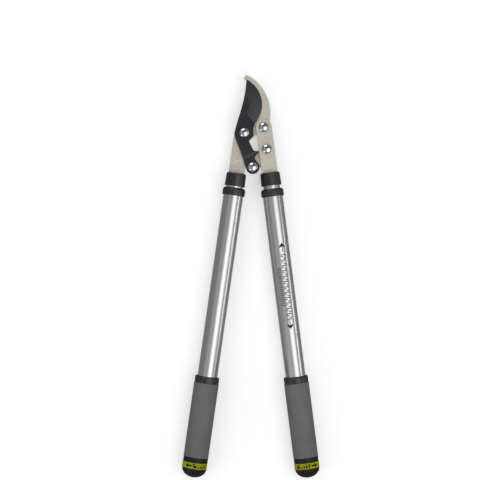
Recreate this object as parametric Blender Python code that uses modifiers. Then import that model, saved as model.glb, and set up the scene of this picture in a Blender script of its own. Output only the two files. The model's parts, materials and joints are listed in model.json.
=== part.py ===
"""Bypass loppers with compound lever action and telescopic twist-lock handles.

The loppers lie flat and closed: +Y points to the cutting head, +Z faces the
viewer and the grips rest on the plane Z = 0. All sizes are in metres.
"""

from math import atan2, cos, pi, radians, sin

import bmesh
import bpy
from mathutils import Matrix, Vector

MM = 0.001

# Overall layout: both handle axes meet at the apex, each tilted from the Y axis
APEX_Y = 352 * MM
HANDLE_ANGLE = radians(7.68)
HANDLE_Z = 19.3 * MM
GAP = 0.3 * MM
FIT = 0.1 * MM
SIDES = 32
SMALL_SIDES = 24

# Flat parts of the head, as layers on both sides of one parting plane
PLATE_THICKNESS = 5.0 * MM
BLADE_THICKNESS = 4.0 * MM
LINK_THICKNESS = 4.0 * MM
BACK_LAYER_TOP = HANDLE_Z - GAP / 2
FRONT_LAYER_BASE = HANDLE_Z + GAP / 2
TANG_STEP = 1.5 * MM
STEP_WIDTH = 2.4 * MM

# Pivots of the compound lever
MAIN_PIVOT = (15.8 * MM, 231.0 * MM)
BLADE_PIVOT = (-14.3 * MM, 222.2 * MM)
BRACKET_LINK_PIVOT = (21.0 * MM, 197.1 * MM)
BLADE_LINK_PIVOT = (-0.8 * MM, 168.8 * MM)

# Cutting edge: one arc shared by the blade and, a little inside it, the hook
CUT_CENTRE = (-31.0 * MM, 265.9 * MM)
CUT_RADIUS = 43.9 * MM
BYPASS_OVERLAP = 1.3 * MM
HOOK_OUTER_CENTRE = (-41.4 * MM, 252.1 * MM)
HOOK_OUTER_RADIUS = 67.5 * MM
GRIND_WIDTH = 21.0 * MM
EDGE_LAND = 0.4 * MM
GRIND_END = (1.4 * MM, 236.9 * MM)
GRIND_END_ANGLE = radians(127.5)

# Straps that run down into the handles
STRAP_HALF_WIDTH = 12.5 * MM
TONGUE_HALF_WIDTH = 8.5 * MM
TONGUE_END = 250 * MM
LINK_END_RADIUS = 9.6 * MM
TANG_END_RADIUS = 10.6 * MM

# Rivets and washers
SHANK_RADIUS = 4.0 * MM
WASHER_BORE = 4.15 * MM
HEAD_RADIUS = 8.0 * MM
HEAD_HEIGHT = 5.0 * MM
HEAD_RIM = 0.6 * MM
TAIL_RADIUS = 6.3 * MM
TAIL_HEIGHT = 2.2 * MM
WASHER_RADIUS = 8.5 * MM
WASHER_THICKNESS = 1.4 * MM
SPACER_THICKNESS = 1.2 * MM
OPEN_PIVOT_RADIUS = 5.8 * MM
DRILL_DEPTH = 40 * MM

# Handle tubes and the pieces on them, as distances down the handle from the apex
FERRULE_TOP = {"left": 194.5 * MM, "right": 193.2 * MM}
FERRULE_LENGTH = 20.2 * MM
FERRULE_WALL_TOP = 2.5 * MM
FERRULE_TOP_RADIUS = 15.2 * MM
FERRULE_BASE_RADIUS = 15.8 * MM
INNER_TUBE_RADIUS = 13.0 * MM
INNER_TUBE_BORE = 11.8 * MM
INNER_TUBE_END = 600 * MM
PLUG_RADIUS = 11.7 * MM
PLUG_END = 258 * MM
PIN_RADIUS = 2.4 * MM
PIN_PLACES = {"upper": 206 * MM, "lower": 240 * MM}
COLLAR_TOP = {"left": 217.1 * MM, "right": 218.3 * MM}
COLLAR_LENGTH = 12.2 * MM
COLLAR_RADIUS = 17.5 * MM
COLLAR_WALL_TOP = 2.2 * MM
BUSH_END = 246 * MM
OUTER_TUBE_RADIUS = 15.4 * MM
OUTER_TUBE_BORE = 14.2 * MM
OUTER_TUBE_END = 655 * MM

# Twist lock on the lower end of the inner tube
CORE_TOP = 580 * MM
CORE_FLANGE_END = 603.5 * MM
CONE_END = 628 * MM
CONE_START_RADIUS = 9.6 * MM
CONE_END_RADIUS = 5.6 * MM
COLLET_RADIUS = 13.95 * MM
COLLET_SLOT = 2.0 * MM
SCREW_RADIUS = 2.0 * MM
SCREW_HEAD_RADIUS = 4.0 * MM
SCREW_HEAD_HEIGHT = 2.6 * MM

# Grip and end cap, one after the other from the grip's top
GRIP_TOP = {"left": 513.1 * MM, "right": 512.0 * MM}
GRIP_RING_LENGTH = 10.4 * MM
GRIP_RING_RADIUS = 19.0 * MM
GRIP_LENGTH = 116.5 * MM
GRIP_RADIUS = 19.3 * MM
CAP_RING_LENGTH = 7.3 * MM
CAP_RADIUS = 19.1 * MM
BAND_LENGTH = 9.5 * MM
BAND_RADIUS = 19.3 * MM
GROOVE_RADIUS = 17.8 * MM
DOME_LENGTH = 15.0 * MM
SPIGOT_TOP = 636 * MM
SPIGOT_BORE = 9.5 * MM

# Finish: colour, roughness and metallic value
FINISHES = {
    "plate_steel": ((0.55, 0.51, 0.46), 0.38, 0.9),
    "blade_coating": ((0.035, 0.036, 0.042), 0.45, 0.2),
    "rivet_chrome": ((0.75, 0.76, 0.78), 0.12, 1.0),
    "zinc_steel": ((0.55, 0.56, 0.57), 0.35, 1.0),
    "tube_aluminium": ((0.72, 0.72, 0.71), 0.24, 1.0),
    "black_plastic": ((0.022, 0.023, 0.028), 0.5, 0.0),
    "grip_grey": ((0.115, 0.115, 0.115), 0.8, 0.0),
    "open_band": ((0.58, 0.62, 0.02), 0.45, 0.0),
    "white_nylon": ((0.78, 0.77, 0.73), 0.5, 0.0),
}


def clear_scene():
    for obj in list(bpy.data.objects):
        bpy.data.objects.remove(obj, do_unlink=True)


def make_collection(name):
    collection = bpy.data.collections.new(name)
    bpy.context.scene.collection.children.link(collection)
    return collection


clear_scene()
PARTS = make_collection("bypass_loppers")
CUTTERS = make_collection("cutters")


# ---------------------------------------------------------------- helpers

def give_finish(obj, finish):
    colour, roughness, metallic = FINISHES[finish]
    material = bpy.data.materials.new(obj.name + "_" + finish)
    material.use_nodes = True
    shader = material.node_tree.nodes["Principled BSDF"]
    shader.inputs["Base Color"].default_value = (*colour, 1)
    shader.inputs["Roughness"].default_value = roughness
    shader.inputs["Metallic"].default_value = metallic
    obj.data.materials.clear()
    obj.data.materials.append(material)


def keep_place_under(obj, parent):
    """Parent an object modelled in world axes without moving it."""
    bpy.context.view_layer.update()
    obj.location = obj.location - parent.matrix_world.translation
    obj.parent = parent


def new_mesh_object(name, bm, collection):
    mesh = bpy.data.meshes.new(name)
    bm.to_mesh(mesh)
    bm.free()
    obj = bpy.data.objects.new(name, mesh)
    collection.objects.link(obj)
    return obj


def pivot_empty(name, pivot):
    empty = bpy.data.objects.new(name, None)
    empty.location = (*pivot, HANDLE_Z)
    empty.empty_display_size = 10 * MM
    PARTS.objects.link(empty)
    return empty


def handle_empty(side):
    """An empty at the apex: its +Z runs down the handle and its +Y faces the viewer."""
    lean = -HANDLE_ANGLE if side == "left" else HANDLE_ANGLE
    empty = bpy.data.objects.new(side + "_handle_axis", None)
    empty.location = (0, APEX_Y, HANDLE_Z)
    empty.rotation_euler = (pi / 2, 0, lean)
    empty.empty_display_size = 20 * MM
    PARTS.objects.link(empty)
    return empty


def turned(name, finish, profile, parent, sides=SIDES):
    """Spin a closed profile of (radius, distance) points about the parent's Z axis.

    The profile is put in the order whose outer side runs down, so faces point out.
    """
    loop = list(zip(profile, profile[1:] + profile[:1]))
    turns_up = sum(a[0] * b[1] - b[0] * a[1] for a, b in loop) > 0
    ordered = profile[::-1] if turns_up else profile
    bm = bmesh.new()
    points = [bm.verts.new((radius, 0, distance)) for radius, distance in ordered]
    pairs = list(zip(points, points[1:]))
    if ordered[0][0] > 0:
        pairs.append((points[-1], points[0]))
    for first, second in pairs:
        bm.edges.new((first, second))
    obj = new_mesh_object(name, bm, PARTS)
    screw = obj.modifiers.new("Screw", "SCREW")
    screw.axis = "Z"
    screw.steps = sides
    screw.render_steps = sides
    screw.use_merge_vertices = True
    screw.merge_threshold = 0.00001
    give_finish(obj, finish)
    obj.parent = parent
    return obj


def ring_profile(inner, outer, start, end):
    return [(outer, start), (outer, end), (inner, end), (inner, start)]


def arc(centre, radius, start, end, steps=10):
    """Points on a circle from start to end degrees."""
    angles = [radians(start + (end - start) * i / steps) for i in range(steps + 1)]
    return [(centre[0] + radius * cos(a), centre[1] + radius * sin(a)) for a in angles]


def top_edge(outer, start, radius):
    """Profile points of a rounded upper edge, from the end face to the outer side."""
    return arc((outer - radius, start + radius), radius, -90, 0, 3)


def cylinder_cutter(name, radius, location, parent=None, rotation=(0, 0, 0)):
    bm = bmesh.new()
    bmesh.ops.create_cone(bm, cap_ends=True, segments=SMALL_SIDES, radius1=radius,
                          radius2=radius, depth=DRILL_DEPTH)
    return finish_cutter(new_mesh_object(name, bm, CUTTERS), location, parent, rotation)


def box_cutter(name, size, location, parent=None, rotation=(0, 0, 0)):
    bm = bmesh.new()
    bmesh.ops.create_cube(bm, size=1)
    bmesh.ops.scale(bm, verts=bm.verts, vec=size)
    return finish_cutter(new_mesh_object(name, bm, CUTTERS), location, parent, rotation)


def finish_cutter(obj, location, parent, rotation):
    obj.location = location
    obj.rotation_euler = rotation
    obj.parent = parent
    obj.display_type = "WIRE"
    obj.hide_render = True
    return obj


def boolean(obj, cutter, operation="DIFFERENCE"):
    modifier = obj.modifiers.new(cutter.name, "BOOLEAN")
    modifier.operation = operation
    modifier.object = cutter
    modifier.solver = "EXACT"


# ---------------------------------------------------------------- flat outlines

def curve_between(first, pull_first, pull_last, last, steps=10):
    """Points of a cubic curve between two ends and their two pull points."""
    points = []
    for i in range(steps + 1):
        t = i / steps
        weights = ((1 - t) ** 3, 3 * t * (1 - t) ** 2, 3 * t * t * (1 - t), t ** 3)
        corners = (first, pull_first, pull_last, last)
        points.append(tuple(sum(w * c[k] for w, c in zip(weights, corners)) for k in (0, 1)))
    return points


def rounded(before, corner, after, radius, steps=4):
    """Points of a round corner of the given radius on the path before-corner-after."""
    corner, before, after = Vector(corner), Vector(before), Vector(after)
    into = (before - corner).normalized()
    out = (after - corner).normalized()
    half = into.angle(out) / 2
    reach = radius * cos(half) / sin(half)
    centre = corner + (into + out).normalized() * (radius / sin(half))
    start = corner + into * reach - centre
    sweep = start.angle_signed(corner + out * reach - centre)
    turn = [Matrix.Rotation(-sweep * i / steps, 2) for i in range(steps + 1)]
    return [tuple(centre + m @ start) for m in turn]


def along(side, distance, offset):
    """The point at a distance down a handle's axis and an offset to its right."""
    lean = -HANDLE_ANGLE if side == "left" else HANDLE_ANGLE
    return (distance * sin(lean) + offset * cos(lean),
            APEX_Y - distance * cos(lean) + offset * sin(lean))


def plate(name, finish, outline, base, thickness, pivot):
    """A flat plate with this outline, its origin on the pivot, as a mesh object."""
    curve = bpy.data.curves.new(name + "_outline", "CURVE")
    curve.dimensions = "2D"
    curve.fill_mode = "BOTH"
    curve.extrude = thickness / 2
    spline = curve.splines.new("POLY")
    spline.points.add(len(outline) - 1)
    for point, (x, y) in zip(spline.points, outline):
        point.co = (x - pivot[0], y - pivot[1], 0, 1)
    spline.use_cyclic_u = True
    flat = bpy.data.objects.new(name + "_outline", curve)
    flat.location = (*pivot, base + thickness / 2)
    PARTS.objects.link(flat)
    bpy.context.view_layer.update()
    graph = bpy.context.evaluated_depsgraph_get()
    mesh = bpy.data.meshes.new_from_object(flat.evaluated_get(graph))
    obj = bpy.data.objects.new(name, mesh)
    obj.matrix_world = flat.matrix_world.copy()
    PARTS.objects.link(obj)
    bpy.data.objects.remove(flat)
    bm = bmesh.new()
    bm.from_mesh(mesh)
    bmesh.ops.remove_doubles(bm, verts=bm.verts, dist=0.00001)
    bmesh.ops.recalc_face_normals(bm, faces=bm.faces)
    bm.to_mesh(mesh)
    bm.free()
    give_finish(obj, finish)
    return obj


def joggle(obj, point, direction, step):
    """Lift everything beyond a bend line by step, over a short ramp."""
    point = Vector((*point, 0)) - obj.location * Vector((1, 1, 0))
    direction = Vector((*direction, 0)).normalized()
    start = point.dot(direction) - STEP_WIDTH / 2
    bm = bmesh.new()
    bm.from_mesh(obj.data)
    for reach in (start, start + STEP_WIDTH):
        bmesh.ops.bisect_plane(bm, geom=bm.verts[:] + bm.edges[:] + bm.faces[:], dist=1e-7,
                               plane_co=direction * reach, plane_no=direction)
    for vert in bm.verts:
        share = (vert.co.dot(direction) - start) / STEP_WIDTH
        vert.co.z += step * min(max(share, 0), 1)
    bmesh.ops.triangulate(bm, faces=[f for f in bm.faces if len(f.verts) > 4])
    bm.to_mesh(obj.data)
    bm.free()


def drill(obj, label, pivot, radius):
    cutter = cylinder_cutter(obj.name + "_" + label, radius, (*pivot, HANDLE_Z))
    boolean(obj, cutter)


def drill_for_pins(obj, side_empty):
    """Cross holes for both plug pins, right through an object on a handle."""
    for label, distance in PIN_PLACES.items():
        hole = cylinder_cutter(obj.name + "_" + label + "_pin_hole", PIN_RADIUS + FIT,
                               (0, 0, distance), side_empty, (pi / 2, 0, 0))
        boolean(obj, hole)


# ---------------------------------------------------------------- the cutting head

def strap_end(side, shoulder):
    """The lower end of a strap: down one edge, round the tongue and up the other."""
    wide, slim = STRAP_HALF_WIDTH, TONGUE_HALF_WIDTH
    stops = [(shoulder, -wide), (shoulder, -slim), (TONGUE_END, -slim),
             (TONGUE_END, slim), (shoulder, slim), (shoulder, wide)]
    return [along(side, distance, offset) for distance, offset in stops]


def make_hook_plate():
    inner = arc(CUT_CENTRE, CUT_RADIUS - BYPASS_OVERLAP, 66, -40, 16)
    throat = (-5.0 * MM, 232.6 * MM)
    boss = arc(BLADE_PIVOT, 14 * MM, 62, 172, 8)
    left_edge = along("left", 141 * MM, -STRAP_HALF_WIDTH)
    shoulder = FERRULE_TOP["left"] - GAP
    crotch = along("left", 141.5 * MM, STRAP_HALF_WIDTH)
    web_corner = (3.6 * MM, 218.6 * MM)
    lobe = arc(MAIN_PIVOT, 11.6 * MM, -105, 10, 8)
    back = arc(HOOK_OUTER_CENTRE, HOOK_OUTER_RADIUS, -8.5, 61, 12)
    beak = [(-12.6 * MM, 312.1 * MM), (-16.0 * MM, 306.6 * MM)]
    end = strap_end("left", shoulder)
    outline = inner
    outline += rounded(inner[-1], throat, boss[0], 3 * MM)
    outline += boss
    outline += rounded(boss[-1], left_edge, end[0], 12 * MM)
    outline += end
    outline += rounded(end[-1], crotch, web_corner, 2.5 * MM)
    outline += rounded(crotch, web_corner, lobe[0], 4 * MM)
    outline += lobe
    outline += back
    outline += rounded(back[-1], beak[0], beak[1], 2 * MM)
    outline += rounded(beak[0], beak[1], inner[0], 1.2 * MM)
    hook = plate("hook_plate", "plate_steel", outline, BACK_LAYER_TOP - PLATE_THICKNESS,
                 PLATE_THICKNESS, MAIN_PIVOT)
    joggle(hook, (-23.2 * MM, 179.0 * MM), (0.302, -0.953), TANG_STEP)
    drill(hook, "main_hole", MAIN_PIVOT, SHANK_RADIUS + FIT)
    drill(hook, "blade_hole", BLADE_PIVOT, SHANK_RADIUS + FIT)
    return hook


def grind_cutter():
    """What grinding takes off the blade: a slab outside a cone along the edge arc.

    The slab is a little shorter than the cone and sits a little higher, so that no
    two of their faces share a plane.
    """
    edge_z = FRONT_LAYER_BASE + EDGE_LAND
    rise = BLADE_THICKNESS - EDGE_LAND
    depth = 2 * rise
    overhang = 0.6 * MM
    wide = CUT_RADIUS + overhang
    bm = bmesh.new()
    bmesh.ops.create_cone(bm, cap_ends=True, segments=72, radius1=wide,
                          radius2=wide - 2 * GRIND_WIDTH, depth=depth)
    cone = finish_cutter(new_mesh_object("grind_cone", bm, CUTTERS),
                         (*CUT_CENTRE, edge_z + rise), None, (0, 0, 0))
    reach = 120 * MM
    across = Vector((cos(GRIND_END_ANGLE), sin(GRIND_END_ANGLE)))
    beyond = Vector((across.y, -across.x))
    centre = Vector(GRIND_END) + beyond * reach / 2
    slab = box_cutter("grind_slab", (2 * reach, reach, depth * 0.9),
                      (*centre, edge_z + depth * 0.46), None,
                      (0, 0, GRIND_END_ANGLE))
    boolean(slab, cone)
    return slab


def make_blade(pivot_parent):
    edge = arc(CUT_CENTRE, CUT_RADIUS, 63.6, -41.5, 16)
    heel = (-0.5 * MM, 228.5 * MM)
    shoulder = (0.4 * MM, 218.0 * MM)
    notch = (-7.0 * MM, 209.5 * MM)
    bump_base = (0.3 * MM, 194.6 * MM)
    bump = (9.4 * MM, 193.6 * MM)
    waist = (1.4 * MM, 183.4 * MM)
    end = arc(BLADE_LINK_PIVOT, TANG_END_RADIUS, 52, -163.5, 16)
    knee = (-17.0 * MM, 185.2 * MM)
    hip = (-30.2 * MM, 219.6 * MM)
    spine = curve_between((-28.6 * MM, 227 * MM), (-24 * MM, 248 * MM),
                          (-13.3 * MM, 270 * MM), (-11.9 * MM, 304.0 * MM), 9)
    outline = edge
    outline += rounded(edge[-1], heel, shoulder, 12 * MM)
    outline += rounded(heel, shoulder, notch, 3 * MM)
    outline += rounded(shoulder, notch, bump_base, 3 * MM)
    outline += rounded(notch, bump_base, bump, 3.5 * MM)
    outline += rounded(bump_base, bump, waist, 1.4 * MM)
    outline += rounded(bump, waist, end[0], 3.5 * MM)
    outline += end
    outline += rounded(end[-1], knee, hip, 30 * MM)
    outline += rounded(knee, hip, spine[0], 6 * MM)
    outline += spine
    blade = plate("blade", "blade_coating", outline, FRONT_LAYER_BASE, BLADE_THICKNESS,
                  BLADE_PIVOT)
    joggle(blade, (-6.0 * MM, 187.3 * MM), (0.484, -0.875), TANG_STEP)
    drill(blade, "pivot_hole", BLADE_PIVOT, SHANK_RADIUS + FIT)
    drill(blade, "link_hole", BLADE_LINK_PIVOT, SHANK_RADIUS + FIT)
    boolean(blade, grind_cutter())
    keep_place_under(blade, pivot_parent)


def make_right_bracket(pivot_parent):
    top = arc(MAIN_PIVOT, STRAP_HALF_WIDTH, 7.7, 187.7, 16)
    outline = top + strap_end("right", FERRULE_TOP["right"] - GAP)
    bracket = plate("right_bracket", "plate_steel", outline, FRONT_LAYER_BASE,
                    PLATE_THICKNESS, MAIN_PIVOT)
    drill(bracket, "main_hole", MAIN_PIVOT, SHANK_RADIUS + FIT)
    drill(bracket, "link_hole", BRACKET_LINK_PIVOT, SHANK_RADIUS + FIT)
    keep_place_under(bracket, pivot_parent)
    return bracket


def make_drive_link(pivot_parent):
    run = Vector(BRACKET_LINK_PIVOT) - Vector(BLADE_LINK_PIVOT)
    lean = atan2(run.y, run.x) * 180 / pi
    outline = arc(BRACKET_LINK_PIVOT, LINK_END_RADIUS, lean - 90, lean + 90, 10)
    outline += arc(BLADE_LINK_PIVOT, LINK_END_RADIUS, lean + 90, lean + 270, 10)
    link = plate("drive_link", "plate_steel", outline, BACK_LAYER_TOP - LINK_THICKNESS,
                 LINK_THICKNESS, BRACKET_LINK_PIVOT)
    drill(link, "bracket_hole", BRACKET_LINK_PIVOT, SHANK_RADIUS + FIT)
    drill(link, "open_blade_hole", BLADE_LINK_PIVOT, OPEN_PIVOT_RADIUS)
    keep_place_under(link, pivot_parent)


def make_rivet(name, pivot, front, back, parent):
    """A domed rivet and its rear washer, through a stack from back to front."""
    here = pivot_empty(name + "_axis", pivot)
    under_head = front + GAP - HANDLE_Z
    washer_top = back - GAP - HANDLE_Z
    tail_top = washer_top - WASHER_THICKNESS - GAP
    rise = HEAD_HEIGHT - HEAD_RIM
    sphere = (HEAD_RADIUS ** 2 + rise ** 2) / (2 * rise)
    steps = 5
    rim_angle = atan2(HEAD_RADIUS, sphere - rise)
    angles = [rim_angle * i / steps for i in range(steps + 1)]
    centre = under_head + HEAD_HEIGHT - sphere
    dome = [(sphere * sin(a), centre + sphere * cos(a)) for a in angles]
    body = [(HEAD_RADIUS, under_head), (SHANK_RADIUS, under_head), (SHANK_RADIUS, tail_top),
            (TAIL_RADIUS, tail_top), (TAIL_RADIUS, tail_top - TAIL_HEIGHT * 0.5),
            (TAIL_RADIUS * 0.7, tail_top - TAIL_HEIGHT), (0, tail_top - TAIL_HEIGHT)]
    turned(name, "rivet_chrome", dome + body, here, SMALL_SIDES)
    turned(name.replace("rivet", "washer"), "zinc_steel",
           ring_profile(WASHER_BORE, WASHER_RADIUS,
                        washer_top, washer_top - WASHER_THICKNESS), here, SMALL_SIDES)
    keep_place_under(here, parent)


def make_link_spacer(parent):
    here = pivot_empty("link_spacer_axis", BLADE_LINK_PIVOT)
    top = FRONT_LAYER_BASE + TANG_STEP - GAP - HANDLE_Z
    turned("link_spacer", "zinc_steel",
           ring_profile(WASHER_BORE, WASHER_RADIUS, top,
                        top - SPACER_THICKNESS), here, SMALL_SIDES)
    keep_place_under(here, parent)


# ---------------------------------------------------------------- the handles

def make_ferrule(side, parent, slot_offset):
    top = FERRULE_TOP[side]
    end = top + FERRULE_LENGTH
    bore = INNER_TUBE_RADIUS + FIT
    profile = [(0, top)] + top_edge(FERRULE_TOP_RADIUS, top, 1.4 * MM)
    profile += [(FERRULE_BASE_RADIUS, end), (bore, end), (bore, top + FERRULE_WALL_TOP),
                (0, top + FERRULE_WALL_TOP)]
    name = side + "_ferrule"
    ferrule = turned(name, "black_plastic", profile, parent)
    slot = (2 * (TONGUE_HALF_WIDTH + GAP), PLATE_THICKNESS + 2 * GAP, 4 * FERRULE_WALL_TOP)
    boolean(ferrule, box_cutter(name + "_slot", slot, (0, slot_offset, top), parent))


def make_tang_plug(side, parent, slot_offset):
    top = FERRULE_TOP[side] + FERRULE_WALL_TOP + GAP
    name = side + "_tang_plug"
    chamfer = 0.8 * MM
    profile = [(0, top), (PLUG_RADIUS, top), (PLUG_RADIUS, PLUG_END - chamfer),
               (PLUG_RADIUS - chamfer, PLUG_END), (0, PLUG_END)]
    plug = turned(name, "black_plastic", profile, parent)
    depth = TONGUE_END + GAP - top
    slot = (2 * (TONGUE_HALF_WIDTH + GAP), PLATE_THICKNESS + 2 * GAP, 2 * depth)
    boolean(plug, box_cutter(name + "_slot", slot, (0, slot_offset, top), parent))
    drill_for_pins(plug, parent)


def make_plug_pins(side, parent):
    half_length = INNER_TUBE_RADIUS - GAP
    chamfer = 0.5 * MM
    for label, distance in PIN_PLACES.items():
        name = side + "_plug_pin_" + label
        here = bpy.data.objects.new(name + "_axis", None)
        here.location = (0, 0, distance)
        here.rotation_euler = (pi / 2, 0, 0)
        here.parent = parent
        PARTS.objects.link(here)
        profile = [(0, half_length), (PIN_RADIUS - chamfer, half_length),
                   (PIN_RADIUS, half_length - chamfer), (PIN_RADIUS, chamfer - half_length),
                   (PIN_RADIUS - chamfer, -half_length), (0, -half_length)]
        turned(name, "zinc_steel", profile, here, SMALL_SIDES)


def make_inner_tube(side, parent):
    top = FERRULE_TOP[side] + FERRULE_WALL_TOP + GAP
    name = side + "_inner_tube"
    tube = turned(name, "tube_aluminium",
                  ring_profile(INNER_TUBE_BORE, INNER_TUBE_RADIUS, top, INNER_TUBE_END), parent)
    drill_for_pins(tube, parent)


def make_twist_lock(side, fixed, turning):
    """The cone on the inner tube, the split collet round it, its washer and screw."""
    flange = INNER_TUBE_END + GAP
    screw_start = CONE_END - 15 * MM
    core = [(0, CORE_TOP), (PLUG_RADIUS, CORE_TOP), (PLUG_RADIUS, flange),
            (INNER_TUBE_RADIUS - GAP, flange), (INNER_TUBE_RADIUS - GAP, CORE_FLANGE_END),
            (CONE_START_RADIUS, CORE_FLANGE_END), (CONE_END_RADIUS, CONE_END),
            (SCREW_RADIUS + FIT, CONE_END), (SCREW_RADIUS + FIT, screw_start - GAP),
            (0, screw_start - GAP)]
    turned(side + "_lock_core", "black_plastic", core, fixed)
    start, end = CORE_FLANGE_END + GAP, CONE_END - GAP
    edge = 0.8 * MM
    clearance = 0.35 * MM
    collet = [(COLLET_RADIUS - edge, start), (COLLET_RADIUS, start + edge),
              (COLLET_RADIUS, end - edge), (COLLET_RADIUS - edge, end),
              (CONE_END_RADIUS + clearance, end), (CONE_START_RADIUS + clearance, start)]
    name = side + "_lock_collet"
    ring = turned(name, "white_nylon", collet, turning)
    slot = (2 * COLLET_RADIUS, COLLET_SLOT, 2 * (end - start))
    middle = (COLLET_RADIUS + SCREW_RADIUS, 0, (start + end) / 2)
    boolean(ring, box_cutter(name + "_slot", slot, middle, turning))
    washer_top = CONE_END + GAP
    washer_end = washer_top + WASHER_THICKNESS
    turned(side + "_core_washer", "zinc_steel",
           ring_profile(SCREW_RADIUS + FIT, WASHER_RADIUS, washer_top, washer_end), fixed,
           SMALL_SIDES)
    head = washer_end + GAP
    head_end = head + SCREW_HEAD_HEIGHT
    screw = [(0, screw_start), (SCREW_RADIUS, screw_start + SCREW_RADIUS / 2),
             (SCREW_RADIUS, head), (SCREW_HEAD_RADIUS, head),
             (0.9 * SCREW_HEAD_RADIUS, head + 0.6 * SCREW_HEAD_HEIGHT),
             (0.5 * SCREW_HEAD_RADIUS, head_end), (0, head_end)]
    turned(side + "_core_screw", "zinc_steel", screw, fixed, SMALL_SIDES)


def make_tube_collar(side, parent):
    top = COLLAR_TOP[side]
    end = top + COLLAR_LENGTH
    bore = INNER_TUBE_RADIUS + FIT
    seat = OUTER_TUBE_RADIUS + FIT
    skirt = OUTER_TUBE_BORE - FIT
    profile = [(bore, top)] + top_edge(COLLAR_RADIUS, top, 3 * MM)
    profile += [(COLLAR_RADIUS, end), (seat, end), (seat, top + COLLAR_WALL_TOP),
                (skirt, top + COLLAR_WALL_TOP), (skirt, BUSH_END), (bore, BUSH_END)]
    turned(side + "_tube_collar", "black_plastic", profile, parent)


def make_outer_tube(side, parent):
    top = COLLAR_TOP[side] + COLLAR_WALL_TOP + GAP
    turned(side + "_outer_tube", "tube_aluminium",
           ring_profile(OUTER_TUBE_BORE, OUTER_TUBE_RADIUS, top, OUTER_TUBE_END), parent)


def make_grip(side, parent):
    bore = OUTER_TUBE_RADIUS + FIT
    top = GRIP_TOP[side]
    ring_end = top + GRIP_RING_LENGTH - GAP
    ring = [(bore, top)] + top_edge(GRIP_RING_RADIUS, top, 2.4 * MM)
    ring += [(GRIP_RING_RADIUS, ring_end), (bore, ring_end)]
    turned(side + "_grip_ring", "black_plastic", ring, parent)
    start = top + GRIP_RING_LENGTH
    end = start + GRIP_LENGTH - GAP
    lip = 0.8 * MM
    sleeve = [(bore, start), (GRIP_RADIUS - lip, start), (GRIP_RADIUS, start + lip),
              (GRIP_RADIUS, end - lip), (GRIP_RADIUS - lip, end), (bore, end)]
    turned(side + "_grip_sleeve", "grip_grey", sleeve, parent)


def make_end_cap(side, parent):
    """The closing cap with its coloured band in a groove and its elliptical dome."""
    pocket_outer = OUTER_TUBE_RADIUS + FIT
    pocket_inner = OUTER_TUBE_BORE - FIT
    pocket_end = OUTER_TUBE_END + GAP
    dimple = 2 * MM
    start = GRIP_TOP[side] + GRIP_RING_LENGTH + GRIP_LENGTH
    band_top = start + CAP_RING_LENGTH
    band_end = band_top + BAND_LENGTH
    cap_end = band_end + DOME_LENGTH
    steps = 7
    angles = [pi / 2 * i / steps for i in range(steps)]
    dome = [(CAP_RADIUS * cos(a), band_end + DOME_LENGTH * sin(a)) for a in angles]
    walls = [(0, pocket_end + dimple), (SPIGOT_BORE, pocket_end), (SPIGOT_BORE, SPIGOT_TOP),
             (pocket_inner, SPIGOT_TOP), (pocket_inner, pocket_end),
             (pocket_outer, pocket_end), (pocket_outer, start), (CAP_RADIUS, start),
             (CAP_RADIUS, band_top), (GROOVE_RADIUS, band_top), (GROOVE_RADIUS, band_end)]
    turned(side + "_end_cap", "black_plastic", walls + dome + [(0, cap_end)], parent)
    band = ring_profile(GROOVE_RADIUS + FIT, BAND_RADIUS, band_top + GAP / 2,
                        band_end - GAP / 2)
    turned(side + "_open_band", "open_band", band, parent)


def make_handle(side, fixed, slot_offset):
    turning = handle_empty(side)
    turning.name = side + "_sleeve_axis"
    if fixed.parent:
        keep_place_under(turning, fixed.parent)
    make_ferrule(side, fixed, slot_offset)
    make_tang_plug(side, fixed, slot_offset)
    make_plug_pins(side, fixed)
    make_inner_tube(side, fixed)
    make_twist_lock(side, fixed, turning)
    make_tube_collar(side, turning)
    make_outer_tube(side, turning)
    make_grip(side, turning)
    make_end_cap(side, turning)


def main():
    back_of_hook = BACK_LAYER_TOP - PLATE_THICKNESS
    back_of_link = BACK_LAYER_TOP - LINK_THICKNESS
    blade_top = FRONT_LAYER_BASE + BLADE_THICKNESS
    bracket_top = FRONT_LAYER_BASE + PLATE_THICKNESS

    frame_axis = pivot_empty("frame_axis", (0, 0))
    right_axis = pivot_empty("right_arm_axis", MAIN_PIVOT)
    blade_axis = pivot_empty("blade_axis", BLADE_PIVOT)
    link_axis = pivot_empty("link_axis", BRACKET_LINK_PIVOT)

    hook = make_hook_plate()
    make_blade(blade_axis)
    bracket = make_right_bracket(right_axis)
    make_drive_link(link_axis)

    make_rivet("main_rivet", MAIN_PIVOT, bracket_top, back_of_hook, frame_axis)
    make_rivet("blade_rivet", BLADE_PIVOT, blade_top, back_of_hook, frame_axis)
    make_rivet("bracket_link_rivet", BRACKET_LINK_PIVOT, bracket_top, back_of_link, right_axis)
    make_rivet("blade_link_rivet", BLADE_LINK_PIVOT, blade_top + TANG_STEP, back_of_link,
               blade_axis)
    make_link_spacer(blade_axis)

    left_handle = handle_empty("left")
    right_handle = handle_empty("right")
    keep_place_under(right_handle, right_axis)
    drill_for_pins(hook, left_handle)
    drill_for_pins(bracket, right_handle)
    left_offset = BACK_LAYER_TOP - PLATE_THICKNESS / 2 + TANG_STEP - HANDLE_Z
    right_offset = FRONT_LAYER_BASE + PLATE_THICKNESS / 2 - HANDLE_Z
    make_handle("left", left_handle, left_offset)
    make_handle("right", right_handle, right_offset)


main()
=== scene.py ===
"""Looks of the bypass loppers: fine meshes, materials, light and camera around the CAD frame."""

import json
from math import atan2, cos, pi, radians, sin

import bmesh
import bpy
from mathutils import Matrix, Vector


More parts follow.
